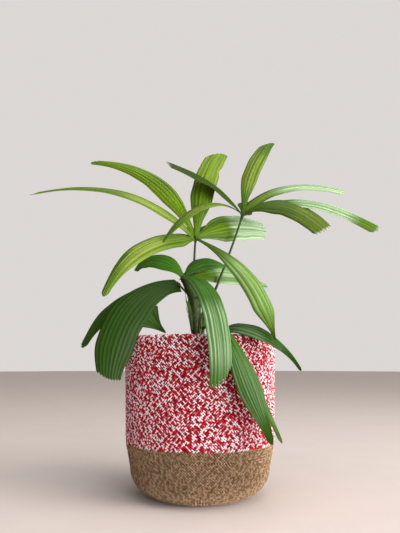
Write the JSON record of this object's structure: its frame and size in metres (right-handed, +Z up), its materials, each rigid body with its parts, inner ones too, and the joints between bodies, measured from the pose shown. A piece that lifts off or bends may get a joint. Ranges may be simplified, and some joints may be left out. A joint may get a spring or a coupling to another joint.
{
  "type": "potted_rhapis_palm",
  "caption": "Young lady palm with fans of long pleated leaflets on thin stalks, standing in a round braided basket with a cotton upper wall and a jute base",
  "frame": {"origin": "middle of the basket's flat underside, on the surface it stands on", "axes": "+X to the right and +Y away from the viewer in the picture, +Z up"},
  "size_m": [0.4819, 0.2913, 0.5156],
  "materials": {
    "cotton_braid": "braided red and white cotton strands",
    "jute_braid": "braided natural jute cord",
    "soil": "dark crumbly potting soil",
    "cane": "green cane in dark fibrous sheaths",
    "petiole": "smooth green stalk",
    "leaf_bright": "satin bright green leaf with lengthwise pleats",
    "leaf_dark": "satin dark green leaf with lengthwise pleats"
  },
  "bodies": {
    "root": {"basket_cotton_wall": "cotton_braid", "basket_jute_base": "jute_braid", "soil": "soil", "cane_main": "cane", "cane_side": "cane", "frond_top_left": "leaf_bright", "frond_top_right": "leaf_bright", "frond_middle": "leaf_dark", "frond_low_left": "leaf_dark", "frond_low_right": "leaf_dark", "frond_low_back": "leaf_dark", "petiole_top_left": "petiole", "petiole_top_right": "petiole", "petiole_middle": "petiole", "petiole_low_left": "petiole", "petiole_low_right": "petiole", "petiole_low_back": "petiole"}
  },
  "joints": []
}
